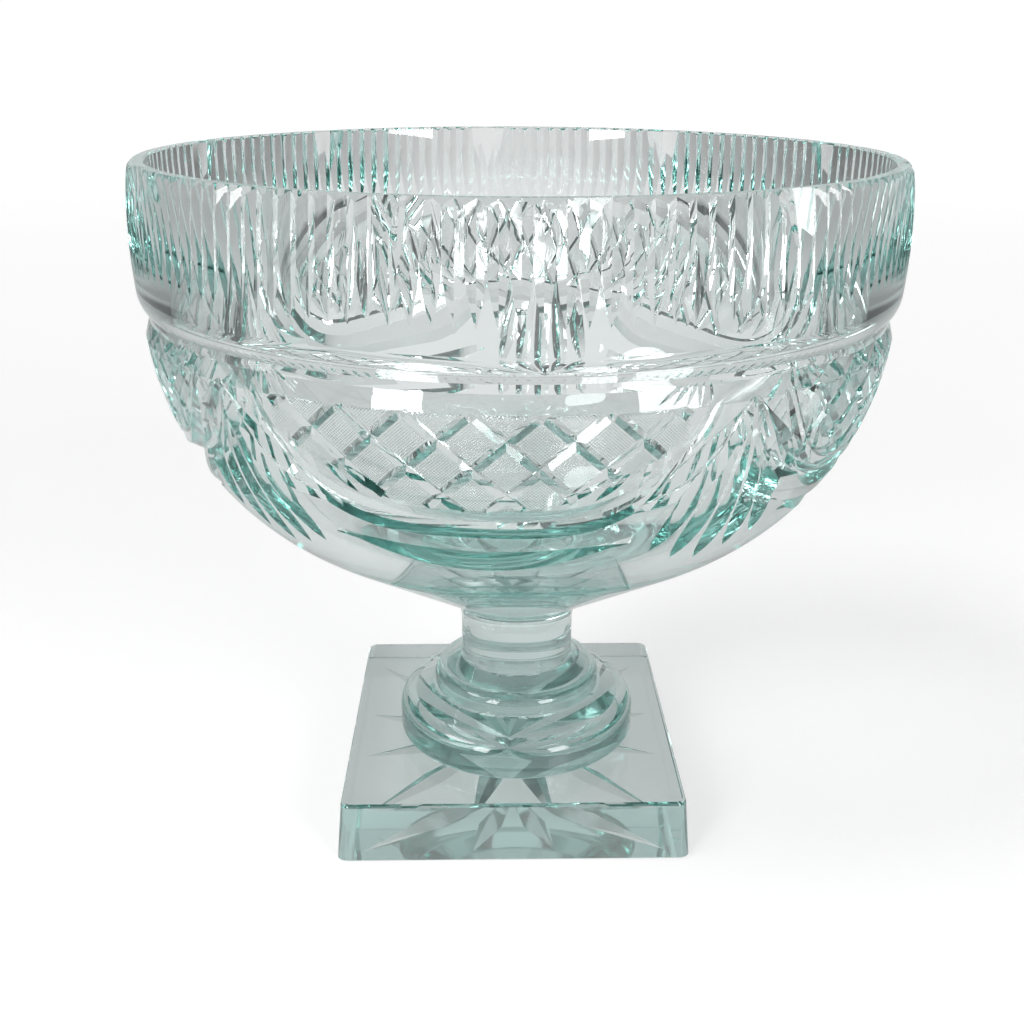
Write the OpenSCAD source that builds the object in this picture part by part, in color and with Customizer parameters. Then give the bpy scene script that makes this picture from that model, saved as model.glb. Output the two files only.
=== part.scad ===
// Cut-glass pedestal punch bowl: a round bowl on a short stem, two round steps and a square plinth.
// Units are millimetres. +Z is up. The origin is on the bowl's axis, at the plinth's underside.

/* [Overall] */
// Outer radius of the bowl at the rim
rim_r = 125; // [122:0.5:126]
// Height of the rim above the table
rim_z = 236; // [232:1:244]

/* [Bowl] */
// Radius of the round shoulder of the bowl's wall
body_r = 93.8; // [92:0.1:95]
// Distance of that round shoulder's centre from the bowl's axis
body_centre_r = 30.9; // [30:0.1:32]
// Height of the ledge between the fluted band and the swags
ledge_z = 190.5; // [188:0.5:192]
// Greatest radius of the fluted band
band_r = 126.7; // [126:0.1:128]
// Steepness of the plain cone under the bowl, in degrees
under_slope = 31.5; // [30:0.5:33]
// Thickness of the bowl's wall
wall_t = 8.2; // [7:0.2:9]
// Radius of the bowl's mouth, inside the rim
mouth_r = 119.8; // [118:0.1:121]

/* [Cut decoration] */
// Number of vertical flutes below the rim
flutes = 144; // [72:12:144]
// Depth of a flute at the rim
flute_depth = 1.3; // [0.8:0.1:1.6]
// Height of the pointed lower end of a flute
flute_tip_z = 205; // [203:1:210]
// Width of a rim notch
notch_w = 22; // [16:1:24]
// Height of a rim notch
notch_h = 12; // [8:1:14]
// Number of swags around the bowl
swags = 5; // [5:1:5]
// Azimuth of the first swag, in degrees from the front
swag_turn = -5.9; // [-36:0.1:36]

/* [Foot] */
// Radius of the stem
stem_r = 21; // [18:0.5:24]
// Side of the plinth at its top edge
plinth_top = 121.5; // [116:0.5:124]
// Side of the plinth at the table
plinth_base = 124.9; // [124:0.1:128]
// Thickness of the plinth
plinth_t = 22; // [18:1:24]
// Number of rays in the star cut under the plinth
star_rays = 12; // [8:4:16]
// Turn of the plinth about its own axis, in degrees
plinth_turn = 1.3; // [-3:0.1:3]
// How far the plinth's centre lies to the side of the bowl's axis
plinth_shift = -2.2; // [-3:0.1:3]

/* [Hidden] */
$fn = 96;

over = 2;
glass = [0.74, 0.87, 0.85];

// Azimuths of the rim notches. They are cut by hand and spaced unevenly.
notch_az = [-110, -63, -14, 34.5, 75, 113, 150.6, 186, 219];

// Heights at which the pieces meet
step_z = plinth_t;
ring_z = 39.5;
stem_z = 51;
bowl_z = 84;

// Wall of the bowl
body_centre_z = ledge_z - 0.5;
cone_top_r = body_centre_r + body_r * sin(under_slope);
cone_top_z = body_centre_z - body_r * cos(under_slope);
cone_low_r = cone_top_r - (cone_top_z - bowl_z) / tan(under_slope);
band_arc_r = 179;
band_arc_z = 211;
band_edge_r = 11;
band_edge_z = ledge_z + 7.5;
rim_bevel = 1.6;
inside_r = body_r - wall_t;
inside_z = body_centre_z - inside_r;

// Fillet from the stem into the cone under the bowl
flare_r = 14;
flare_corner_z = bowl_z - (cone_low_r - stem_r) * tan(under_slope);
flare_t = flare_r * tan((90 - under_slope) / 2);

// Flutes: long three-sided prisms at a small slope, so that each runs out to a point
flute_over = 14;
flute_len = rim_z - flute_tip_z + flute_over;
flute_rise = 1.6;
flute_slope = atan((flute_depth + flute_rise) / (rim_z - flute_tip_z));
flute_half_w = PI * rim_r / flutes * 0.94;
flute_wide = 4;

// Rim notches: wide mitre cuts, deepest at the rim
notch_depth = 3.4;
notch_slope = atan(notch_depth / notch_h);
notch_len = notch_h * 1.5;
notch_over = 4;

// Swags: under each panel are two nested folds. Each is a mitre cut on a circle that stands almost upright.
// valley is its deepest point as [radius, height], cant its lean, rise and fall the slopes of its two faces.
swag_step = 360 / swags;
swag_half_az = 35.5;
swag_inner_r = 50;
swag_outer_r = rim_r + 10;
fold_deep = 30;
fold_wide = 32;
upper_fold_r = 80;
upper_valley = [112.2, 147];
upper_cant = 11;
upper_rise = 0.56;
upper_fall = -0.08;
upper_top_z = 186;
lower_fold_r = 163;
lower_valley = [105, 137];
lower_cant = 12.4;
lower_rise = 0.2;
lower_fall = 0.5;
lower_top_z = 150;

// Fans: mitre cuts that spread downwards from the point where two swags meet. Each is cut on a circle
// through two points of the wall, given as [radius, height], and starts short of the fan's point.
fan_point = [124.4, 184];
fan_start = [122.5, 170.5];
fan_end = [101.2, 128.5];
fan_ring_r = 180;
fan_step = 10;
fan_half_w = 30;
fan_outer_r = rim_r + 10;
fan_depth = 60;
fan_cut_h = 3;
fan_cut_w = 3.75;
fan_run = fan_end - fan_start;
fan_chord = norm(fan_run);
fan_lean = atan2(-fan_run[0], -fan_run[1]);
fan_inset = sqrt(pow(fan_ring_r, 2) - pow(fan_chord / 2, 2));

// Plinth and the star cut under it
corner_r = 3.2;
edge_bevel = 1;
star_depth = 4.2;
star_middle = 1;
star_full = 0.55;
star_long = 76;
star_short = 58;
star_over = 10;
star_wide = 2.1;

// Turns its children to the given azimuth. Azimuth 0 is the front, which faces -Y.
module at_azimuth(az) {
    rotate([0, 0, az])
        children();
}

// Half section of the solid blank before the inside is hollowed out
module blank_section() {
    intersection() {
        translate([body_centre_r, body_centre_z])
            circle(r = body_r, $fn = 180);
        translate([0, cone_top_z])
            square([rim_r + 10, body_centre_z - cone_top_z]);
    }
    translate([0, cone_top_z])
        square([body_centre_r, body_centre_z - cone_top_z]);
    polygon([
        [0, bowl_z],
        [cone_low_r, bowl_z],
        [cone_top_r, cone_top_z],
        [0, cone_top_z]
    ]);
    translate([0, body_centre_z - over])
        square([rim_r - 1.2, ledge_z - body_centre_z + over]);
    intersection() {
        translate([band_r - band_edge_r - 0.5, band_edge_z])
            circle(r = band_edge_r, $fn = 180);
        translate([0, ledge_z])
            square([rim_r + 10, band_edge_z - ledge_z]);
    }
    translate([0, ledge_z])
        square([band_r - band_edge_r, band_edge_z - ledge_z]);
    intersection() {
        translate([band_r - band_arc_r, band_arc_z])
            circle(r = band_arc_r, $fn = 360);
        translate([0, band_edge_z])
            square([rim_r + 10, rim_z - band_edge_z]);
        polygon([
            [0, band_edge_z],
            [rim_r + 10, band_edge_z],
            [rim_r + 10, rim_z - rim_bevel - 10],
            [rim_r, rim_z - rim_bevel],
            [rim_r - rim_bevel, rim_z],
            [0, rim_z]
        ]);
    }
}

// Half section of the space inside the bowl, which follows the wall
module inside_section() {
    intersection() {
        translate([body_centre_r, body_centre_z])
            circle(r = inside_r, $fn = 180);
        translate([0, inside_z - over])
            square([rim_r, inside_r + over]);
    }
    translate([0, inside_z])
        square([body_centre_r, inside_r]);
    polygon([
        [0, body_centre_z],
        [body_centre_r + inside_r, body_centre_z],
        [mouth_r, rim_z],
        [mouth_r, rim_z + over],
        [0, rim_z + over]
    ]);
}

module bowl_blank() {
    difference() {
        rotate_extrude($fn = 180)
            blank_section();
        rotate_extrude($fn = 180)
            inside_section();
    }
}

// One flute of the band, at the front
module flute_cut() {
    translate([0, -(rim_r - flute_depth), rim_z])
        rotate([-flute_slope, 0, 0])
            translate([0, 0, over - flute_len])
                linear_extrude(flute_len)
                    polygon([
                        [0, 0],
                        [flute_wide * flute_half_w, -flute_wide * flute_depth],
                        [-flute_wide * flute_half_w, -flute_wide * flute_depth]
                    ]);
}

// One notch of the rim, at the front
module notch_cut() {
    translate([0, -(rim_r - notch_depth), rim_z])
        rotate([-notch_slope, 0, 0])
            translate([0, 0, -notch_len])
                linear_extrude(notch_len + notch_over)
                    polygon([
                        [0, 0],
                        [notch_w, -2 * notch_depth],
                        [-notch_w, -2 * notch_depth]
                    ]);
}

// Wedge that keeps a fold of the front swag clear of the swags beside it
module swag_wedge(top_z) {
    translate([0, 0, bowl_z])
        linear_extrude(top_z - bowl_z)
            polygon([
                [-swag_inner_r * tan(swag_half_az), -swag_inner_r],
                [swag_inner_r * tan(swag_half_az), -swag_inner_r],
                [swag_outer_r * tan(swag_half_az), -swag_outer_r],
                [-swag_outer_r * tan(swag_half_az), -swag_outer_r]
            ]);
}

// One fold of the front swag
module fold_cut(valley, ring_r, cant, rise, fall, top_z) {
    intersection() {
        translate([0, -valley[0], valley[1]])
            rotate([-cant, 0, 0])
                translate([0, 0, ring_r])
                    rotate([90, 0, 0])
                        rotate_extrude($fn = 180)
                            polygon([
                                [ring_r, 0],
                                [ring_r - fold_deep * rise, fold_deep],
                                [ring_r + fold_wide, fold_deep],
                                [ring_r + fold_wide, -fold_wide * fall]
                            ]);
        swag_wedge(top_z);
    }
}

// The bowl with its fluted band and notched rim
module banded_bowl() {
    difference() {
        bowl_blank();
        for (i = [0 : flutes - 1])
            at_azimuth(i * 360 / flutes)
                flute_cut();
        for (az = notch_az)
            at_azimuth(az)
                notch_cut();
    }
}

// One ray of the front fan: spread is its angle from the fan's middle
module fan_cut(spread) {
    intersection() {
        translate([0, -fan_point[0], fan_point[1]])
            rotate([0, spread, 0])
                translate([0, fan_point[0] - fan_start[0], fan_start[1] - fan_point[1]])
                    rotate([fan_lean, 0, 0])
                        translate([0, fan_inset, -fan_chord / 2])
                            rotate([0, 90, 0])
                                rotate_extrude($fn = 360)
                                    polygon([
                                        [fan_ring_r, 0],
                                        [fan_ring_r + fan_cut_h, fan_cut_w],
                                        [fan_ring_r + fan_cut_h, -fan_cut_w]
                                    ]);
        translate([-fan_half_w, -fan_outer_r, bowl_z])
            cube([2 * fan_half_w, fan_depth, ledge_z - bowl_z]);
    }
}

// The same ray of every fan
module fan_rays(spread) {
    for (i = [0 : swags - 1])
        at_azimuth(swag_turn + (i + 0.5) * swag_step)
            fan_cut(spread);
}

// The lower fold of every swag is cut after the upper one, and the fans are cut last
module bowl() {
    color(glass)
        difference() {
            difference() {
                difference() {
                    banded_bowl();
                    for (i = [0 : swags - 1])
                        at_azimuth(swag_turn + i * swag_step)
                            fold_cut(upper_valley, upper_fold_r, upper_cant, upper_rise, upper_fall, upper_top_z);
                }
                for (i = [0 : swags - 1])
                    at_azimuth(swag_turn + i * swag_step)
                        fold_cut(lower_valley, lower_fold_r, lower_cant, lower_rise, lower_fall, lower_top_z);
            }
            fan_rays(-2 * fan_step);
            fan_rays(-fan_step);
            fan_rays(0);
            fan_rays(fan_step);
            fan_rays(2 * fan_step);
        }
}

module stem() {
    color(glass)
        rotate_extrude($fn = 96)
            difference() {
                union() {
                    translate([0, stem_z])
                        square([stem_r, bowl_z - stem_z]);
                    polygon([
                        [0, flare_corner_z - flare_t],
                        [stem_r, flare_corner_z - flare_t],
                        [stem_r + flare_t * cos(under_slope), flare_corner_z + flare_t * sin(under_slope)],
                        [cone_low_r, bowl_z],
                        [0, bowl_z]
                    ]);
                }
                translate([stem_r + flare_r, flare_corner_z - flare_t])
                    circle(r = flare_r);
            }
}

// Half section of a moulded step: a straight side from z0, rounded over at the top and sloping in
module step_section(r_side, z0, z_side, round_r, r_top, z_top) {
    round_centre_r = r_side - round_r;
    translate([0, z0])
        square([r_side, z_side - z0]);
    intersection() {
        translate([round_centre_r, z_side])
            circle(r = round_r);
        translate([0, z0])
            square([r_side, z_top - z0]);
    }
    polygon([
        [0, z0],
        [round_centre_r, z0],
        [round_centre_r, z_side + round_r],
        [r_top, z_top],
        [0, z_top]
    ]);
}

module upper_ring() {
    color(glass)
        rotate_extrude($fn = 96)
            step_section(31.4, ring_z, 42.5, 4.5, 21.6, stem_z);
}

module domed_step() {
    color(glass)
        rotate_extrude($fn = 96)
            difference() {
                step_section(45, step_z, 29.5, 6, 32.4, ring_z);
                translate([33.4, ring_z])
                    circle(r = 1);
            }
}

// Plinth: a square block with sloping sides and rounded upright corners
module plinth_block() {
    intersection() {
        linear_extrude(plinth_t)
            union() {
                square([plinth_base - 2 * corner_r, plinth_base], center = true);
                square([plinth_base, plinth_base - 2 * corner_r], center = true);
                for (x = [-1, 1])
                    for (y = [-1, 1])
                        translate([x * (plinth_base / 2 - corner_r), y * (plinth_base / 2 - corner_r)])
                            circle(r = corner_r);
            }
        for (turn = [0, 90])
            rotate([0, 0, turn])
                rotate([90, 0, 0])
                    translate([0, 0, -plinth_base])
                        linear_extrude(2 * plinth_base)
                            polygon([
                                [-plinth_base / 2, 0],
                                [plinth_base / 2, 0],
                                [plinth_top / 2, plinth_t - edge_bevel],
                                [plinth_top / 2 - edge_bevel, plinth_t],
                                [-plinth_top / 2 + edge_bevel, plinth_t],
                                [-plinth_top / 2, plinth_t - edge_bevel]
                            ]);
    }
}

// A long three-sided prism whose bottom line climbs from the underside by rise over each run
module sloped_mitre(start_depth, rise) {
    translate([0, -star_over, start_depth - rise * star_over])
        rotate([-90 + atan(rise), 0, 0])
            linear_extrude(star_long + 2 * star_over)
                polygon([
                    [0, 0],
                    [star_wide * star_depth, 2 * star_depth],
                    [-star_wide * star_depth, 2 * star_depth]
                ]);
}

// One ray of the star: a mitre cut in the underside, deepest part of the way along and pointed at its end
module star_ray(length) {
    intersection() {
        sloped_mitre(star_middle, (star_depth - star_middle) / (star_full * length));
        sloped_mitre(star_depth / (1 - star_full), -star_depth / ((1 - star_full) * length));
    }
}

module plinth() {
    color(glass)
        translate([plinth_shift, 0, 0])
            rotate([0, 0, plinth_turn])
                difference() {
                    plinth_block();
                    for (i = [0 : star_rays - 1])
                        rotate([0, 0, (i + 0.5) * 360 / star_rays])
                            star_ray(i % 3 == 1 ? star_long : star_short);
                }
}

bowl();
stem();
upper_ring();
domed_step();
plinth();
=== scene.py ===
"""Looks of a cut-glass pedestal punch bowl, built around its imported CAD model.

Lengths are in millimetres in the CAD frame until a mesh is made, which is in metres. Azimuths are in
degrees from the front (-Y), turning towards +X. Each glass piece is one closed mesh, cut as a cutter's
wheel cuts it: every mitre is a three-sided groove taken out of the polished surface.
"""
import math

import bmesh
import bpy
from mathutils import Matrix, Vector


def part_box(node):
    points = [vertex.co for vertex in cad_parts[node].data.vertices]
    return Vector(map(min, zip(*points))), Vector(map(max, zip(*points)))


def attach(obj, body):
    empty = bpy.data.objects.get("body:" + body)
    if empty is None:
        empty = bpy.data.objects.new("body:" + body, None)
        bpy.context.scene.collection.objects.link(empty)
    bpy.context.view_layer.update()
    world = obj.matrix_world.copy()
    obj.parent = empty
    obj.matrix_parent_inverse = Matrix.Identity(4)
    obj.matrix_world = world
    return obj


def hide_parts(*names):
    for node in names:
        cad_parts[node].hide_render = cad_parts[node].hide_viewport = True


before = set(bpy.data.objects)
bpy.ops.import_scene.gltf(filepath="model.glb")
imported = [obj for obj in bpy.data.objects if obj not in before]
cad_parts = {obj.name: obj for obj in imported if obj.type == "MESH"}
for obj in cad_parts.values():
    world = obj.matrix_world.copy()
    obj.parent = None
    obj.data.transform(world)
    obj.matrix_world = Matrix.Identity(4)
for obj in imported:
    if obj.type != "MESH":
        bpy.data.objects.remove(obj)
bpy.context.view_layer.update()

# ---- Sizes ----------------------------------------------------------------------------------------

MM = 0.001
BOWL_LOW, BOWL_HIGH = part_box("bowl")
STEM_LOW, STEM_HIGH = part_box("stem")
RING_LOW, RING_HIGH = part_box("upper_ring")
STEP_LOW, STEP_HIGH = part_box("domed_step")
PLINTH_LOW, PLINTH_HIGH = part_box("plinth")

# Top and bottom of the bowl, and its rim
RIM_Z = BOWL_HIGH.z / MM
BOWL_Z = BOWL_LOW.z / MM
RIM_R = 125.0
RIM_BEVEL = 1.6
MOUTH_R = 119.8
MOUTH_BEVEL = 0.5

# Wall of the bowl: a plain cone, a round shoulder, a shallow groove and the fluted band above it
BODY_R = 93.8
BODY_CENTRE_R = 30.9
LEDGE_Z = 190.5
BODY_CENTRE_Z = LEDGE_Z - 0.5
STRIP_Z = 182.5  # where the groove's long lower face starts
GROOVE_R = 122.9  # bottom of the groove
GROOVE_Z = 187.8
UNDER_SLOPE = math.radians(31.5)
CONE_TOP_R = BODY_CENTRE_R + BODY_R * math.sin(UNDER_SLOPE)
CONE_TOP_Z = BODY_CENTRE_Z - BODY_R * math.cos(UNDER_SLOPE)
CONE_LOW_R = CONE_TOP_R - (CONE_TOP_Z - BOWL_Z) / math.tan(UNDER_SLOPE)
BAND_R = 126.7
BAND_ARC_R = 179.0
BAND_ARC_Z = 211.0
BAND_EDGE_R = 11.0  # round on the band's lower edge
BAND_EDGE_Z = LEDGE_Z + 7.5
EDGE_BASE_R = BAND_R - BAND_EDGE_R - 0.5
BAND_LOW_R = EDGE_BASE_R + math.sqrt(BAND_EDGE_R**2 - (BAND_EDGE_Z - LEDGE_Z) ** 2)

# Inside of the bowl, which follows the wall
WALL_T = 8.2
INSIDE_R = BODY_R - WALL_T
INSIDE_Z = BODY_CENTRE_Z - INSIDE_R

# Stem and the two round steps: radius, top of the upright side, round on the edge, radius at the top
STEM_R = 21.0
STEM_FILLET_R = 14.0
UPPER_RING = (31.4, 42.5, 4.5, 21.6)
DOMED_STEP = (45.0, 29.5, 6.0, 32.4)

# Plinth
PLINTH_TOP = 121.5  # width across the top
PLINTH_BASE = 124.9
PLINTH_TURN = 1.3  # degrees that it is turned about the bowl's axis
CORNER_R = 3.2

# Star under the plinth: each ray is deepest part of the way out and is pointed at its end
STAR_RAYS = 12
STAR_DEPTH = 4.2
STAR_MIDDLE = 1.0  # depth in the middle of the star
STAR_FULL = 0.55  # where a ray is deepest, as a share of its length
STAR_WIDE = 2.1  # half width over depth
STAR_OVER = 10.0  # how far the cutter runs past both ends
STAR_LONG = 76.0
STAR_SHORT = 58.0

# Flutes round the band, and the notches in the rim
FLUTES = 144
FLUTE_DEPTH = 1.35
FLUTE_TIP_Z = 205.0
FLUTE_FULL_Z = 219.0  # above this they have their full depth
NOTCH_AZIMUTHS = (-110, -63, -14, 34.5, 75, 113, 150.6, 186, 219)
NOTCH_W = 22.0
NOTCH_H = 12.0
NOTCH_DEPTH = 3.4

# Swags. A reach is the number of degrees on both sides of a swag's middle.
SWAGS = 5
SWAG_TURN = -5.9
SWAG_STEP = 360 / SWAGS
SWAG_AZIMUTHS = [SWAG_TURN + SWAG_STEP * i for i in range(SWAGS)]
LUNE_REACH = 22  # lower fold
UPPER_REACH = 31
EDGE_REACH = 30
VALLEY_Z = 147.0  # bottom of the upper fold, in the middle of a swag
VALLEY_RISE = 36.7  # how far it climbs to the swag's ends
LOBE_Z = 139.2  # lower edge of the lobe between the folds
HEM_Z = 130.6  # lower edge of the lower fold
EDGE_DEPTH = 0.9
LOWER_FOLD_DEPTH = 3.2

# Depth and width of every swag's upper fold: the front one is the shallowest and the left one the deepest
UPPER_FOLDS = ((1.9, 2.6), (2.4, 3.5), (2.4, 3.5), (2.4, 3.5), (4.2, 8.0))

# Panels of diamonds, with fine hatching on every diamond
PANEL_REACH = 27
PANEL_TOP_Z = 183.0
PANEL_LOW_Z = 152.0
DIAMOND_STEP = 8.4  # degrees between mitres that cross at the same height
DIAMOND_RISE = (PANEL_TOP_Z - 166.7) / DIAMOND_STEP  # mm of height for a degree
DIAMOND_DEPTH = 1.3
MITRE_HALF_ANGLE = 51
HATCH_STEP = DIAMOND_STEP / 18
HATCH_DEPTH = 0.045

# Fans between the swags, and the wing blades beside them
FAN_AZIMUTHS = [a + SWAG_STEP / 2 for a in SWAG_AZIMUTHS]
APEX_Z = 183.7
FAN_DEPTH = 2.7
FAN_HALF_ANGLE = 52
WING_DEPTH = 2.0
WING_HALF_ANGLE = 65

TURNS = 480  # facets round the axis
JOIN = 0.2  # how far a piece runs into the one it is fused to
ARRIS = math.radians(13)  # faces that meet at more than this keep a sharp edge


def shoulder_r(z):
    return BODY_CENTRE_R + math.sqrt(BODY_R**2 - (z - BODY_CENTRE_Z) ** 2)


def wall_r(z):
    """Outer radius of the wall below the band: the cone, the shoulder, and the groove's two faces."""
    if z < CONE_TOP_Z:
        return CONE_TOP_R - (CONE_TOP_Z - z) / math.tan(UNDER_SLOPE)
    if z < STRIP_Z:
        return shoulder_r(z)
    if z < GROOVE_Z:
        along = (z - STRIP_Z) / (GROOVE_Z - STRIP_Z)
        return shoulder_r(STRIP_Z) + (GROOVE_R - shoulder_r(STRIP_Z)) * along
    along = (z - GROOVE_Z) / (LEDGE_Z - GROOVE_Z)
    return GROOVE_R + (BAND_LOW_R - GROOVE_R) * min(along, 1.0)


def band_r(z):
    """Outer radius of the fluted band above the ledge."""
    return BAND_R - BAND_ARC_R + math.sqrt(BAND_ARC_R**2 - (z - BAND_ARC_Z) ** 2)


def place(azimuth, radius, z):
    """A point at an azimuth, a radius and a height."""
    turn = math.radians(azimuth)
    return Vector((radius * math.sin(turn), -radius * math.cos(turn), z))


def normal_at(azimuth, z, radius_at):
    """The outward normal of a turned surface."""
    slope = (radius_at(z + 0.1) - radius_at(z - 0.1)) / 0.2
    return (place(azimuth, 1, 0) - Vector((0, 0, slope))).normalized()


# ---- Meshes ---------------------------------------------------------------------------------------


def arc(centre_r, centre_z, radius, start, end, steps):
    """Points on an arc in the r-z half plane. Angles are in degrees, from outwards to upwards."""
    turns = [math.radians(start + (end - start) * i / steps) for i in range(steps + 1)]
    return [(centre_r + radius * math.cos(t), centre_z + radius * math.sin(t)) for t in turns]


def ramp(start, end, steps):
    """Points along a straight line in the r-z half plane."""
    return [
        (start[0] + (end[0] - start[0]) * i / steps, start[1] + (end[1] - start[1]) * i / steps)
        for i in range(steps + 1)
    ]


def tidy_outline(outline):
    """The outline without points that repeat."""
    kept = [outline[0]]
    for point in outline[1:]:
        if math.dist(point, kept[-1]) > 1e-4:
            kept.append(point)
    return kept


class Solids:
    """Closed solids that don't touch, gathered as one mesh."""

    def __init__(self):
        self.points = []
        self.faces = []

    def add(self, rings):
        """Adds the solid that runs through rings of points."""
        first, size = len(self.points), len(rings[0])
        for ring in rings:
            self.points.extend(ring)
        for i in range(len(rings) - 1):
            for j in range(size):
                a = first + i * size + j
                b = first + i * size + (j + 1) % size
                self.faces.append((a, b, b + size, a + size))
        last = first + (len(rings) - 1) * size
        self.faces.append(tuple(first + j for j in reversed(range(size))))
        self.faces.append(tuple(last + j for j in range(size)))

    def mesh(self, name):
        """The mesh, in metres, with its faces turned outwards."""
        mesh = bpy.data.meshes.new(name)
        mesh.from_pydata([Vector(p) * MM for p in self.points], [], self.faces)
        bm = bmesh.new()
        bm.from_mesh(mesh)
        bmesh.ops.recalc_face_normals(bm, faces=bm.faces)
        bm.to_mesh(mesh)
        bm.free()
        return mesh


def add_object(name, mesh):
    made = bpy.data.objects.new(name, mesh)
    bpy.context.scene.collection.objects.link(made)
    return made


def turned(name, outline, segments=TURNS):
    """A solid of revolution, from an outline that starts and ends on the axis."""
    outline = tidy_outline(outline)
    points, faces, rings = [], [], []
    for radius, z in outline:
        if radius < 1e-6:
            rings.append([len(points)] * segments)
            points.append(Vector((0, 0, z)))
        else:
            rings.append(list(range(len(points), len(points) + segments)))
            points.extend(place(360 * i / segments, radius, z) for i in range(segments))
    for low, high in zip(rings, rings[1:]):
        for i in range(segments):
            j = (i + 1) % segments
            corners = [low[i], low[j], high[j], high[i]]
            faces.append(tuple(dict.fromkeys(corners)))
    mesh = bpy.data.meshes.new(name)
    mesh.from_pydata([p * MM for p in points], [], faces)
    mesh.validate()
    bm = bmesh.new()
    bm.from_mesh(mesh)
    bmesh.ops.recalc_face_normals(bm, faces=bm.faces)
    bm.to_mesh(mesh)
    bm.free()
    return add_object(name, mesh)


def cut(piece, cutters):
    """Takes each group of cutters out of a piece."""
    for i, group in enumerate(cutters):
        tool = add_object(f"{piece.name}_tool_{i}", group.mesh("tool"))
        boolean = piece.modifiers.new("cut", "BOOLEAN")
        boolean.operation = "DIFFERENCE"
        boolean.solver = "MANIFOLD"
        boolean.object = tool
        graph = bpy.context.evaluated_depsgraph_get()
        done = bpy.data.meshes.new_from_object(piece.evaluated_get(graph))
        piece.modifiers.clear()
        old, piece.data = piece.data, done
        bpy.data.meshes.remove(old)
        bpy.data.objects.remove(tool)
    piece.data.name = piece.name


def polish(piece):
    """Shades a piece smooth, with sharp arrises."""
    piece.data.shade_smooth()
    piece.data.set_sharp_from_angle(angle=ARRIS)


# ---- Cuts -----------------------------------------------------------------------------------------


def groove(solids, path, depths, half_angle, radius_at, clear=0.8):
    """Adds a mitre cut. path is (azimuth, height) points on a surface, and depths the depth at each."""
    spots = [place(a, radius_at(z), z) for a, z in path]
    spread = (max(depths) + clear) * math.tan(math.radians(half_angle))
    rings = []
    for i, (azimuth, z) in enumerate(path):
        outward = normal_at(azimuth, z, radius_at)
        along = (spots[min(i + 1, len(path) - 1)] - spots[max(i - 1, 0)]).normalized()
        across = along.cross(outward).normalized()
        bottom = spots[i] - outward * depths[i]
        top = bottom + outward * (max(depths) + clear)
        rings.append([bottom, top + across * spread, top - across * spread])
    solids.add(rings)


def straight(start, end, steps):
    """A path of (azimuth, height) points between two."""
    return [
        (start[0] + (end[0] - start[0]) * i / steps, start[1] + (end[1] - start[1]) * i / steps)
        for i in range(steps + 1)
    ]


def smooth(route, along):
    """The point at a fraction of the way along a smooth curve through a few points."""
    spot = along * (len(route) - 1)
    i = min(int(spot), len(route) - 2)
    t = spot - i
    before, start, end, after = (route[min(max(k, 0), len(route) - 1)] for k in range(i - 1, i + 3))
    return tuple(
        0.5 * (2 * b + (c - a) * t + (2 * a - 5 * b + 4 * c - d) * t**2 + (3 * b - a - 3 * c + d) * t**3)
        for a, b, c, d in zip(before, start, end, after)
    )


def blade(depth, steps, fullest=0.5, swell=1.0):
    """Depths of a cut that is pointed at both ends and deepest at fullest of its length."""
    power = math.log(0.5) / math.log(fullest)
    rises = [max(0.0, math.sin(math.pi * (i / steps) ** power)) for i in range(steps + 1)]
    return [depth * rise**swell - 0.03 for rise in rises]


def flute_cuts():
    """Upright mitres round the band. Neighbours touch, so the even and the odd ones are two groups."""
    pitch = 360 / FLUTES
    half_w = math.radians(pitch / 2) * RIM_R
    wide = 1.5
    groups = [Solids(), Solids()]
    heights = [RIM_Z + 2, 228.0, FLUTE_FULL_Z, 213.0, 208.5, FLUTE_TIP_Z - 0.3]
    for i in range(FLUTES):
        rings = []
        for z in heights:
            fall = max(0.0, (FLUTE_FULL_Z - z) / (FLUTE_FULL_Z - FLUTE_TIP_Z))
            depth = FLUTE_DEPTH * (1 - fall**1.6)
            bottom = place(0, band_r(z) - depth, z)
            side = Vector((half_w * wide, -FLUTE_DEPTH * wide, 0))
            ring = [bottom, bottom + side, bottom + Vector((-side.x, side.y, 0))]
            rings.append([Matrix.Rotation(math.radians(i * pitch), 3, "Z") @ p for p in ring])
        groups[i % 2].add(rings)
    return groups


def notch_cuts():
    """Wide mitres at the rim, at the cutter's uneven spacing."""
    group = Solids()
    fall = NOTCH_DEPTH / NOTCH_H
    for azimuth in NOTCH_AZIMUTHS:
        rings = []
        for drop in (-3.0, 1.5 * NOTCH_H):
            bottom = place(0, RIM_R - NOTCH_DEPTH + fall * drop, RIM_Z - drop)
            side = Vector((NOTCH_W, -2 * NOTCH_DEPTH, 0))
            ring = [bottom, bottom + side, bottom + Vector((-side.x, side.y, 0))]
            rings.append([Matrix.Rotation(math.radians(azimuth), 3, "Z") @ p for p in ring])
        group.add(rings)
    return [group]


def panel_z(a):
    """Lower edge of a swag's diamond panel, a degrees from the swag's middle."""
    return PANEL_LOW_Z + 0.0293 * a * a


def valley_z(a):
    """Bottom of the upper fold."""
    return VALLEY_Z + VALLEY_RISE * (abs(a) / UPPER_REACH) ** 4.2


def lobe_z(a):
    """Lower edge of the rounded lobe between the folds."""
    return LOBE_Z + 3.4 * (abs(a) / LUNE_REACH) ** 2.4


def hem_z(a):
    """Lower edge of the lower fold."""
    return HEM_Z + 12.0 * (a / LUNE_REACH) ** 2


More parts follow.
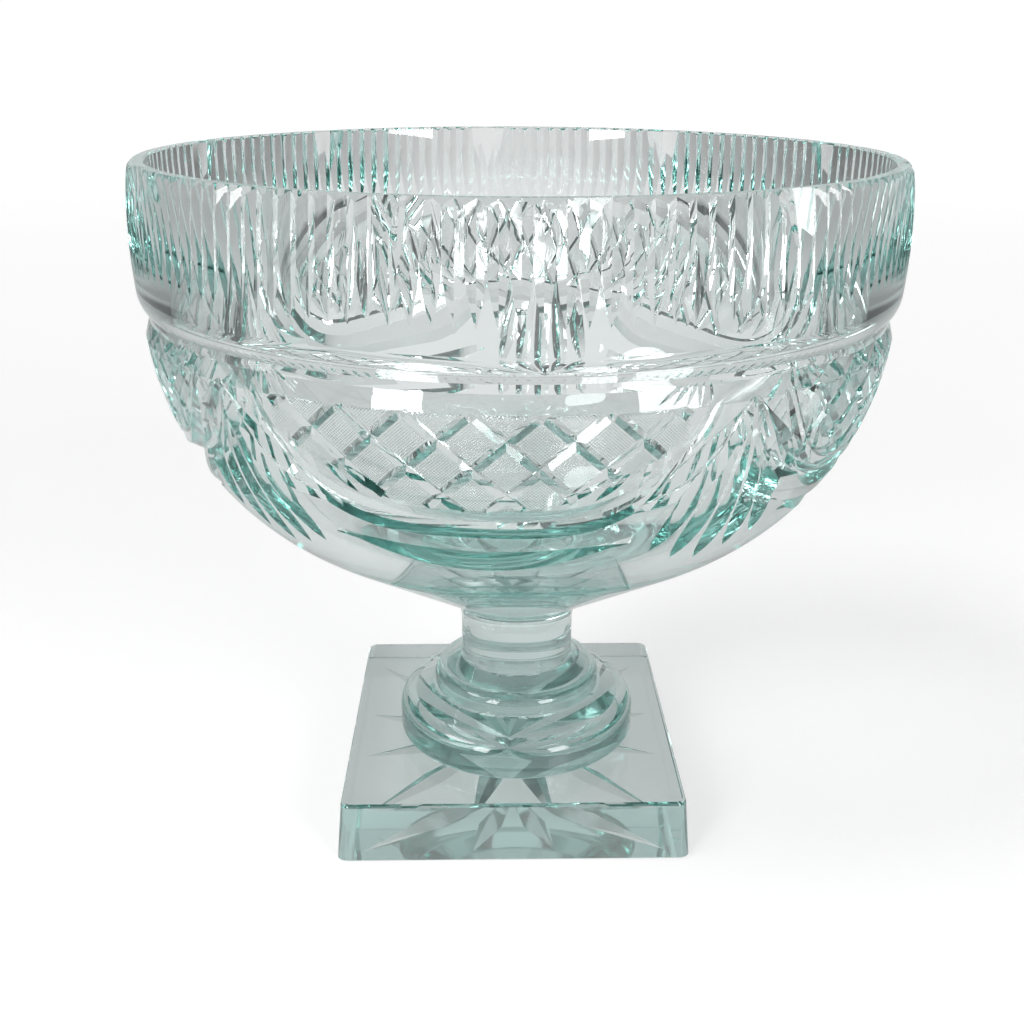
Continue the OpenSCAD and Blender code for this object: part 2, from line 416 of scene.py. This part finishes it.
def fold(solids, azimuth, reach, upper_edge, bottom, lower_edge, depth):
    """Adds one fold of a swag: a mitre with an undercut upper face and an upright lower one."""
    steps = 2 * reach
    rings = []
    for i in range(steps + 1):
        a = -reach + i
        fullness = 1 - (abs(a) / reach) ** 5
        low_z = bottom(a)
        top_z = max(upper_edge(a), low_z + 0.3)
        end_z = min(lower_edge(a), low_z - 0.3)
        low = Vector((wall_r(low_z) - depth * fullness - 0.02, low_z))
        top = Vector((wall_r(top_z), top_z))
        end = Vector((wall_r(end_z), end_z))
        top += (top - low) * 0.5
        end += (end - low) * 0.25
        clear = Vector((6, 0))
        ring = [low, top, top + clear, end + clear, end]
        rings.append([place(azimuth + a, r, z) for r, z in ring])
    solids.add(rings)


def swag_cuts():
    """The stepped edge under every panel, the upper fold and the lower fold."""
    edge, upper, lower = Solids(), Solids(), Solids()
    for azimuth, (depth, width) in zip(SWAG_AZIMUTHS, UPPER_FOLDS):
        fold(
            edge, azimuth, EDGE_REACH,
            lambda a: valley_z(a) + 7.2, lambda a: valley_z(a) + 6.6, lambda a: valley_z(a) + 3.5,
            EDGE_DEPTH,
        )
        fold(
            upper, azimuth, UPPER_REACH,
            lambda a: valley_z(a) + 3.4, valley_z, lambda a: valley_z(a) - width, depth,
        )
        fold(lower, azimuth, LUNE_REACH, lobe_z, lambda a: lobe_z(a) - 2.0, hem_z, LOWER_FOLD_DEPTH)
    return [edge, upper, lower]


def crossing_cuts(step, depth, groups, clear, phase=0.0):
    """Mitres that cross every panel from its top edge to its lower edge, leaning both ways.

    Every groups-th mitre goes into the same group, because mitres that touch can't share one.
    """
    stride = 0.7  # degrees from one point of a path to the next
    most_points = 60
    made = []
    for lean in (-1, 1):
        family = [Solids() for _ in range(groups)]
        for azimuth in SWAG_AZIMUTHS:
            count = int(2 * PANEL_REACH / step)
            for k in range(-count, count + 1):
                start = (k + phase) * step
                path = []
                for i in range(most_points):
                    a = start + lean * i * stride
                    z = PANEL_TOP_Z - (a - start) * lean * DIAMOND_RISE
                    if abs(a) < PANEL_REACH and z > panel_z(a) + 0.4:
                        path.append((azimuth + a, z))
                if len(path) > 2:
                    depths = [depth] * len(path)
                    depths[0] = -0.02
                    groove(family[k % groups], path, depths, MITRE_HALF_ANGLE, wall_r, clear)
        made.extend(family)
    return made


def fan_cuts():
    """The rays of every fan, grouped by ray so that no two in a group touch.

    A ray is given by its end: degrees from the fan's middle, and a height.
    """
    rays = (
        (-10.2, 136.0), (-5.3, 131.0), (0.2, 128.5), (5.5, 131.0), (10.1, 134.5),
        (-8.9, 147.0), (8.9, 147.0), (-11.5, 157.0), (11.5, 157.0),
    )
    steps = 14
    groups = []
    for spread, end_z in rays:
        group = Solids()
        for azimuth in FAN_AZIMUTHS:
            path = straight((azimuth + spread * 0.03, APEX_Z), (azimuth + spread, end_z), steps)
            groove(group, path, blade(FAN_DEPTH, steps, 0.74, 0.7), FAN_HALF_ANGLE, wall_r)
        groups.append(group)
    return groups


def leaf_cuts():
    """The leaning blades at both ends of every swag, from one (azimuth, height) to another."""
    leaves = (
        ((24.5, 173.5), (23.9, 159.7)),
        ((22.4, 170.0), (21.0, 157.0)),
        ((26.5, 167.5), (25.0, 153.5)),
        ((20.0, 166.0), (15.5, 156.9)),
        ((17.0, 164.0), (11.0, 156.0)),
    )
    steps = 8
    groups = []
    for start, end in leaves:
        group = Solids()
        for azimuth in SWAG_AZIMUTHS:
            for side in (-1, 1):
                path = straight(
                    (azimuth + side * start[0], start[1]), (azimuth + side * end[0], end[1]), steps
                )
                groove(group, path, blade(1.1, steps), 48, wall_r)
        groups.append(group)
    return groups


def wing_cuts():
    """The broad blades that hang from every fan's point and follow the swags on both sides.

    The route is in degrees from a swag's middle, and heights.
    """
    route = ((-35.6, 182.5), (-34.2, 174.0), (-31.4, 163.6), (-26.0, 156.0), (-17.3, 151.0))
    steps = 16
    path = [smooth(route, i / steps) for i in range(steps + 1)]
    groups = []
    for side in (-1, 1):
        group = Solids()
        for azimuth in SWAG_AZIMUTHS:
            spots = [(azimuth - side * a, z) for a, z in path]
            groove(group, spots, blade(WING_DEPTH, steps, 0.45), WING_HALF_ANGLE, wall_r)
        groups.append(group)
    return groups


def blaze_cuts():
    """The short fans of blades under the ledge, on both sides of every fan."""
    steps = 6
    groups = []
    for k in range(5):
        group = Solids()
        for azimuth in FAN_AZIMUTHS:
            for side in (-1, 1):
                top = (azimuth + side * (6.5 + 0.9 * k), 189.0)
                end = (azimuth + side * (6.3 + 1.9 * k), 181.5 + 0.5 * k)
                groove(group, straight(top, end, steps), blade(0.6, steps, 0.4), 45, wall_r)
        groups.append(group)
    return groups


# ---- Pieces ---------------------------------------------------------------------------------------


def bowl_outline():
    """The bowl's half section, from its underside over the rim to the middle of its inside."""
    low = BOWL_Z - JOIN
    body_start = math.degrees(math.asin((CONE_TOP_Z - BODY_CENTRE_Z) / BODY_R))
    body_end = math.degrees(math.asin((STRIP_Z - BODY_CENTRE_Z) / BODY_R))
    shoulder = arc(BODY_CENTRE_R, BODY_CENTRE_Z, BODY_R, body_start, body_end, 70)
    edge_start = math.degrees(math.asin((LEDGE_Z - BAND_EDGE_Z) / BAND_EDGE_R))
    band = [(band_r(z), z) for z in range(198, 232, 4)]
    lip = [(RIM_R, RIM_Z - RIM_BEVEL), (RIM_R - RIM_BEVEL, RIM_Z)]
    inner = [(MOUTH_R + MOUTH_BEVEL, RIM_Z), (MOUTH_R, RIM_Z - MOUTH_BEVEL)]
    inside_top = (BODY_CENTRE_R + INSIDE_R, BODY_CENTRE_Z)
    return (
        [(0, low)]
        + ramp((CONE_LOW_R, low), (CONE_TOP_R, CONE_TOP_Z), 24)
        + shoulder
        + [(GROOVE_R, GROOVE_Z)]
        + arc(EDGE_BASE_R, BAND_EDGE_Z, BAND_EDGE_R, edge_start, 0, 12)
        + band
        + lip
        + inner
        + ramp((MOUTH_R, RIM_Z - MOUTH_BEVEL), inside_top, 20)
        + arc(BODY_CENTRE_R, BODY_CENTRE_Z, INSIDE_R, 0, -90, 90)
        + [(0, INSIDE_Z)]
    )


def make_bowl():
    bowl = turned("bowl_glass", bowl_outline())
    cut(bowl, flute_cuts())
    cut(bowl, notch_cuts())
    cut(bowl, crossing_cuts(HATCH_STEP, HATCH_DEPTH, 2, 0.15, 0.5))
    cut(bowl, crossing_cuts(DIAMOND_STEP, DIAMOND_DEPTH, 1, 0.8))
    cut(bowl, swag_cuts())
    cut(bowl, wing_cuts())
    cut(bowl, leaf_cuts())
    cut(bowl, blaze_cuts())
    cut(bowl, fan_cuts())
    polish(bowl)
    return bowl


def make_stem():
    """The stem, which spreads in a fillet to the cone under the bowl."""
    corner_z = BOWL_Z - (CONE_LOW_R - STEM_R) * math.tan(UNDER_SLOPE)
    fillet_z = corner_z - STEM_FILLET_R * math.tan((math.pi / 2 - UNDER_SLOPE) / 2)
    low, high = STEM_LOW.z / MM - JOIN, STEM_HIGH.z / MM
    outline = (
        [(0, low)]
        + ramp((STEM_R, low), (STEM_R, fillet_z), 6)
        + arc(STEM_R + STEM_FILLET_R, fillet_z, STEM_FILLET_R, 180, 90 + math.degrees(UNDER_SLOPE), 16)
        + [(CONE_LOW_R, high), (0, high)]
    )
    stem = turned("stem_glass", outline)
    polish(stem)
    return stem


def make_step(name, low, high, sizes):
    """A round step: an upright side, rounded over at the top, with a sloping shoulder."""
    radius, side_z, round_r, top_r = sizes
    outline = (
        [(0, low - JOIN), (radius - 0.4, low - JOIN), (radius, low + 0.4)]
        + ramp((radius, low + 0.4), (radius, side_z), 3)
        + arc(radius - round_r, side_z, round_r, 0, 90, 18)
        + ramp((radius - round_r, side_z + round_r), (top_r, high), 4)
        + [(0, high)]
    )
    step = turned(name, outline)
    polish(step)
    return step


def rounded_square(half, corner_r, z, steps=8):
    """A ring of points round a square with round corners."""
    ring = []
    for k in range(4):
        for i in range(steps + 1):
            turn = math.radians(90 * (k + i / steps))
            centre = Vector((half - corner_r, half - corner_r, z))
            centre = Matrix.Rotation(math.radians(90 * k), 3, "Z") @ centre
            ring.append(centre + Vector((corner_r * math.cos(turn), corner_r * math.sin(turn), 0)))
    return ring


def star_cuts(to_plinth):
    """The star under the plinth, one ray to a group. Every third ray is longer and meets a corner."""
    groups = []
    for i in range(STAR_RAYS):
        length = STAR_LONG if i % 3 == 1 else STAR_SHORT
        turn = Matrix.Rotation(math.radians((i + 0.5) * 360 / STAR_RAYS), 3, "Z")
        full = STAR_FULL * length
        rise = (STAR_DEPTH - STAR_MIDDLE) / full
        fall = STAR_DEPTH / (length - full)
        spots = (
            (-STAR_OVER, STAR_MIDDLE - rise * STAR_OVER),
            (full, STAR_DEPTH),
            (length + STAR_OVER, -fall * STAR_OVER),
        )
        rings = []
        for along, depth in spots:
            bottom = Vector((0, along, depth))
            side = Vector((STAR_WIDE * STAR_DEPTH, 0, -2 * STAR_DEPTH))
            ring = [bottom, bottom + side, bottom + Vector((-side.x, 0, side.z))]
            rings.append([to_plinth @ (turn @ p) for p in ring])
        group = Solids()
        group.add(rings)
        groups.append(group)
    return groups


def make_plinth():
    """The square block, a little narrower at the top, with softened edges."""
    centre = (PLINTH_LOW + PLINTH_HIGH) / 2 / MM
    to_plinth = Matrix.Translation((centre.x, centre.y, 0))
    to_plinth = to_plinth @ Matrix.Rotation(math.radians(PLINTH_TURN), 4, "Z")
    height = PLINTH_HIGH.z / MM
    solid = Solids()
    levels = (
        (PLINTH_BASE / 2 - 0.5, 0.0),
        (PLINTH_BASE / 2, 0.5),
        (PLINTH_TOP / 2 + 0.05, height - 1.0),
        (PLINTH_TOP / 2 - 0.35, height - 0.35),
        (PLINTH_TOP / 2 - 1.0, height),
    )
    rings = [rounded_square(half, CORNER_R, z) for half, z in levels]
    solid.add([[to_plinth @ p for p in ring] for ring in rings])
    plinth = add_object("plinth_glass", solid.mesh("plinth_glass"))
    cut(plinth, star_cuts(to_plinth))
    polish(plinth)
    return plinth


def grind(block):
    """Gives the upright faces of a block, and the cuts on its underside, its second material."""
    for face in block.data.polygons:
        if -0.9 < face.normal.z < 0.2:
            face.material_index = 1


# ---- Materials ------------------------------------------------------------------------------------

# Glass. A pair is the least and the greatest roughness.
GLASS_IOR = 1.52
GLASS_TINT = (0.10, 0.62, 0.56, 1)
GLASS_DENSITY = 6.5
POLISH = (0.0, 0.02)
GROUND = (0.03, 0.08)
GROUND_CLEAR = 0.88  # share of the light that a ground face lets through

# Floor. A reach is two distances in metres, and a pair the values at the nearer and the farther one.
FLOOR_TONE = 0.5
FLOOR_PAINTED_SHADE_TONE = (0.32, 0.05)  # painted shade: tone as the glass sees it, darker than the camera sees it in the middle and nearly black far to the sides
SIDE_REACH = (0.3, 0.9)
FLOOR_GLOW = (0.54, 0.72)  # glow that keeps the floor white to the camera
FLOOR_GLOW_REACH = (0.35, 3.0)
FLOOR_PAINTED_GLOW = (0.46, 0.36)  # painted light: glow as the glass sees it, brightest close round the foot
FLOOR_PAINTED_GLOW_REACH = (0.07, 0.2)
FLOOR_FAR_PAINTED_LIGHT = 0.2  # painted light: how much brighter the glass sees the floor some way behind the bowl
FLOOR_FAR_PAINTED_LIGHT_REACH = (0.28, 0.6)


def new_material(name):
    material = bpy.data.materials.new(name)
    material.use_nodes = True
    nodes = material.node_tree.nodes
    return material, nodes, material.node_tree.links, nodes["Principled BSDF"]


def glass_material(name, roughness, clear):
    """Clear glass with a pale aqua tint, which deepens with the length of glass seen through.

    roughness is a pair for value_ramp, and clear the share of light that isn't scattered by the surface.
    """
    material, nodes, links, shader = new_material(name)
    shader.inputs["Base Color"].default_value = (1, 1, 1, 1)
    shader.inputs["Transmission Weight"].default_value = clear
    shader.inputs["IOR"].default_value = GLASS_IOR
    place_in = nodes.new("ShaderNodeTexCoord")
    haze = nodes.new("ShaderNodeTexNoise")
    haze.inputs["Scale"].default_value = 60
    haze.inputs["Detail"].default_value = 3
    links.new(place_in.outputs["Object"], haze.inputs["Vector"])
    spread = value_ramp(nodes, links, haze.outputs["Fac"], (0.35, 0.7), roughness)
    links.new(spread, shader.inputs["Roughness"])
    tint = nodes.new("ShaderNodeVolumeAbsorption")
    tint.inputs["Color"].default_value = GLASS_TINT
    tint.inputs["Density"].default_value = GLASS_DENSITY
    links.new(tint.outputs["Volume"], nodes["Material Output"].inputs["Volume"])
    return material


def camera_mix(nodes, links, seen_in_glass, seen_direct):
    """A value that is one thing to the camera and another to the light that passes through the glass."""
    ray = nodes.new("ShaderNodeLightPath")
    mix = nodes.new("ShaderNodeMix")
    mix.data_type = "FLOAT"
    links.new(ray.outputs["Is Camera Ray"], mix.inputs[0])
    for socket, value in ((mix.inputs[2], seen_in_glass), (mix.inputs[3], seen_direct)):
        if isinstance(value, float):
            socket.default_value = value
        else:
            links.new(value, socket)
    return mix.outputs[0]


def value_ramp(nodes, links, source, reach, values):
    """Maps a socket's value from one range to another, and holds it at both ends."""
    ramp = nodes.new("ShaderNodeMapRange")
    ramp.inputs["From Min"].default_value = reach[0]
    ramp.inputs["From Max"].default_value = reach[1]
    ramp.inputs["To Min"].default_value = values[0]
    ramp.inputs["To Max"].default_value = values[1]
    links.new(source, ramp.inputs["Value"])
    return ramp.outputs["Result"]


def math_node(nodes, links, operation, first, second=None):
    made = nodes.new("ShaderNodeMath")
    made.operation = operation
    links.new(first, made.inputs[0])
    if second is not None:
        links.new(second, made.inputs[1])
    return made.outputs["Value"]


def floor_material():
    """A pale floor, even and white to the camera. The glass sees it with painted shade, darker and
    darkening to the left and right, and with painted light, a glow brightest round the foot and again
    some way behind the bowl.
    """
    material, nodes, links, shader = new_material("pale_floor")
    shader.inputs["Roughness"].default_value = 0.7
    shader.inputs["Emission Color"].default_value = (1, 1, 1, 1)
    position = nodes.new("ShaderNodeTexCoord")
    split = nodes.new("ShaderNodeSeparateXYZ")
    links.new(position.outputs["Object"], split.inputs["Vector"])
    length = nodes.new("ShaderNodeVectorMath")
    length.operation = "LENGTH"
    links.new(position.outputs["Object"], length.inputs[0])
    distance = length.outputs["Value"]
    aside = math_node(nodes, links, "ABSOLUTE", split.outputs["X"])

    # Painted shade: the glass sees the floor darker than the camera does, and darker still to the left
    # and right
    painted_shade_tone = value_ramp(nodes, links, aside, SIDE_REACH, FLOOR_PAINTED_SHADE_TONE)
    tone = camera_mix(nodes, links, painted_shade_tone, FLOOR_TONE)
    links.new(tone, shader.inputs["Base Color"])

    # Painted light: a glow on the floor that only the glass sees, brightest close round the foot
    seen = value_ramp(nodes, links, distance, FLOOR_PAINTED_GLOW_REACH, FLOOR_PAINTED_GLOW)
    # Painted light: the glass sees the floor brighter from some way out from the bowl onwards
    farther = value_ramp(nodes, links, distance, FLOOR_FAR_PAINTED_LIGHT_REACH, (0.0, FLOOR_FAR_PAINTED_LIGHT))
    seen = math_node(nodes, links, "ADD", seen, farther)
    # Painted shade: the glow that the glass sees fades out to the left and right
    painted_side_shade = value_ramp(nodes, links, aside, SIDE_REACH, (1.0, 0.0))
    seen = math_node(nodes, links, "MULTIPLY", seen, painted_side_shade)
    direct = value_ramp(nodes, links, distance, FLOOR_GLOW_REACH, FLOOR_GLOW)
    links.new(camera_mix(nodes, links, seen, direct), shader.inputs["Emission Strength"])
    return material


# ---- Assembly -------------------------------------------------------------------------------------

glass = glass_material("aqua_cut_glass", POLISH, 1)
ground_glass = glass_material("aqua_ground_glass", GROUND, GROUND_CLEAR)
pieces = {
    "bowl": make_bowl(),
    "stem": make_stem(),
    "upper_ring": make_step("upper_ring_glass", RING_LOW.z / MM, RING_HIGH.z / MM, UPPER_RING),
    "domed_step": make_step("domed_step_glass", STEP_LOW.z / MM, STEP_HIGH.z / MM, DOMED_STEP),
    "plinth": make_plinth(),
}
for node, piece in pieces.items():
    piece.data.materials.clear()
    piece.data.materials.append(glass)
    piece.data.materials.append(ground_glass)
    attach(piece, "root")
    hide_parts(node)
grind(pieces["plinth"])

# ---- Stage ----------------------------------------------------------------------------------------

FLOOR_R = 6000.0
LAMP_AIM = (0, 0, 0.15)  # where both softboxes point
LIGHT_BOUNCES = 40

# Far lamp
SUN_ANGLE = 24  # degrees across, for the width of the shadow's edge
SUN_STRENGTH = 1.5
SUN_FROM = (-0.65, -0.2, 0.8)

# Studio as the glass sees it
WALL_LIGHT = 0.70  # behind the bowl, at the horizon
CEILING_LIGHT = 0.45  # overhead
FLAG_LIGHT = 0.3  # share of that light that is left at the sides
ROOM_LIGHT = 0.35  # share that is left in the unlit room, on the camera's side

BACKDROP_LIGHT = 1.02  # backdrop as the camera sees it

# Camera
LENS = 42.41
SENSOR_WIDTH = 36
CAMERA_AT = (-2.03, -415.05, 271.13)
CAMERA_PITCH = 21.465  # degrees down
CAMERA_ROLL = 0.274


def make_floor():
    floor = turned("floor", [(0, -1), (FLOOR_R, -1), (FLOOR_R, 0), (0, 0)], 96)
    floor.location.z = -0.0001
    floor.data.materials.append(floor_material())


def softbox(name, place_at, width, height, watts):
    lamp = bpy.data.lights.new(name, "AREA")
    lamp.shape = "RECTANGLE"
    lamp.size, lamp.size_y = width, height
    lamp.energy = watts
    made = bpy.data.objects.new(name, lamp)
    made.location = place_at
    made.rotation_euler = (Vector(LAMP_AIM) - Vector(place_at)).to_track_quat("-Z", "Y").to_euler()
    bpy.context.scene.collection.objects.link(made)


def make_far_lamp():
    """A wide far lamp on the left, which throws the bowl's soft shadow to the right."""
    lamp = bpy.data.lights.new("far_lamp", "SUN")
    lamp.angle = math.radians(SUN_ANGLE)
    lamp.energy = SUN_STRENGTH
    made = bpy.data.objects.new("far_lamp", lamp)
    made.rotation_euler = Vector(SUN_FROM).to_track_quat("Z", "Y").to_euler()
    bpy.context.scene.collection.objects.link(made)


def make_world():
    """A studio that is light behind the bowl and dim in front of it and at the sides."""
    world = bpy.data.worlds.new("studio")
    bpy.context.scene.world = world
    world.use_nodes = True
    nodes, links = world.node_tree.nodes, world.node_tree.links
    direction = nodes.new("ShaderNodeTexCoord")
    split = nodes.new("ShaderNodeSeparateXYZ")
    links.new(direction.outputs["Generated"], split.inputs["Vector"])
    level = value_ramp(nodes, links, split.outputs["Z"], (0.1, 0.8), (WALL_LIGHT, CEILING_LIGHT))
    backward = value_ramp(nodes, links, split.outputs["Y"], (-0.3, 0.7), (ROOM_LIGHT, 1.0))
    aside = math_node(nodes, links, "ABSOLUTE", split.outputs["X"])
    sideward = value_ramp(nodes, links, aside, (0.4, 0.9), (1.0, FLAG_LIGHT))
    level = math_node(nodes, links, "MULTIPLY", level, backward)
    level = math_node(nodes, links, "MULTIPLY", level, sideward)
    strength = camera_mix(nodes, links, level, BACKDROP_LIGHT)
    links.new(strength, nodes["Background"].inputs["Strength"])
    nodes["Background"].inputs["Color"].default_value = (1, 1, 1, 1)


def make_camera():
    """The camera stands in front of the bowl, a little above the rim."""
    lens = bpy.data.cameras.new("camera")
    lens.lens = LENS
    lens.sensor_width = SENSOR_WIDTH
    lens.clip_start = 0.01
    made = bpy.data.objects.new("camera", lens)
    down, roll = math.radians(CAMERA_PITCH), math.radians(CAMERA_ROLL)
    forward = Vector((0, math.cos(down), -math.sin(down)))
    right, up = Vector((1, 0, 0)), Vector((0, math.sin(down), math.cos(down)))
    right, up = (
        right * math.cos(roll) + up * math.sin(roll),
        up * math.cos(roll) - right * math.sin(roll),
    )
    turn = Matrix((right, up, -forward)).transposed().to_4x4()
    made.matrix_world = Matrix.Translation(Vector(CAMERA_AT) * MM) @ turn
    bpy.context.scene.collection.objects.link(made)
    bpy.context.scene.camera = made


scene = bpy.context.scene
scene.view_settings.view_transform = "Standard"
scene.cycles.max_bounces = LIGHT_BOUNCES
scene.cycles.transmission_bounces = LIGHT_BOUNCES
scene.cycles.glossy_bounces = LIGHT_BOUNCES
make_floor()
make_world()
softbox("left_softbox", place_at=(-0.71, -1.09, 0.66), width=0.34, height=0.7, watts=9)
softbox("right_softbox", place_at=(0.85, -0.98, 0.66), width=0.42, height=0.7, watts=10)
make_far_lamp()
make_camera()
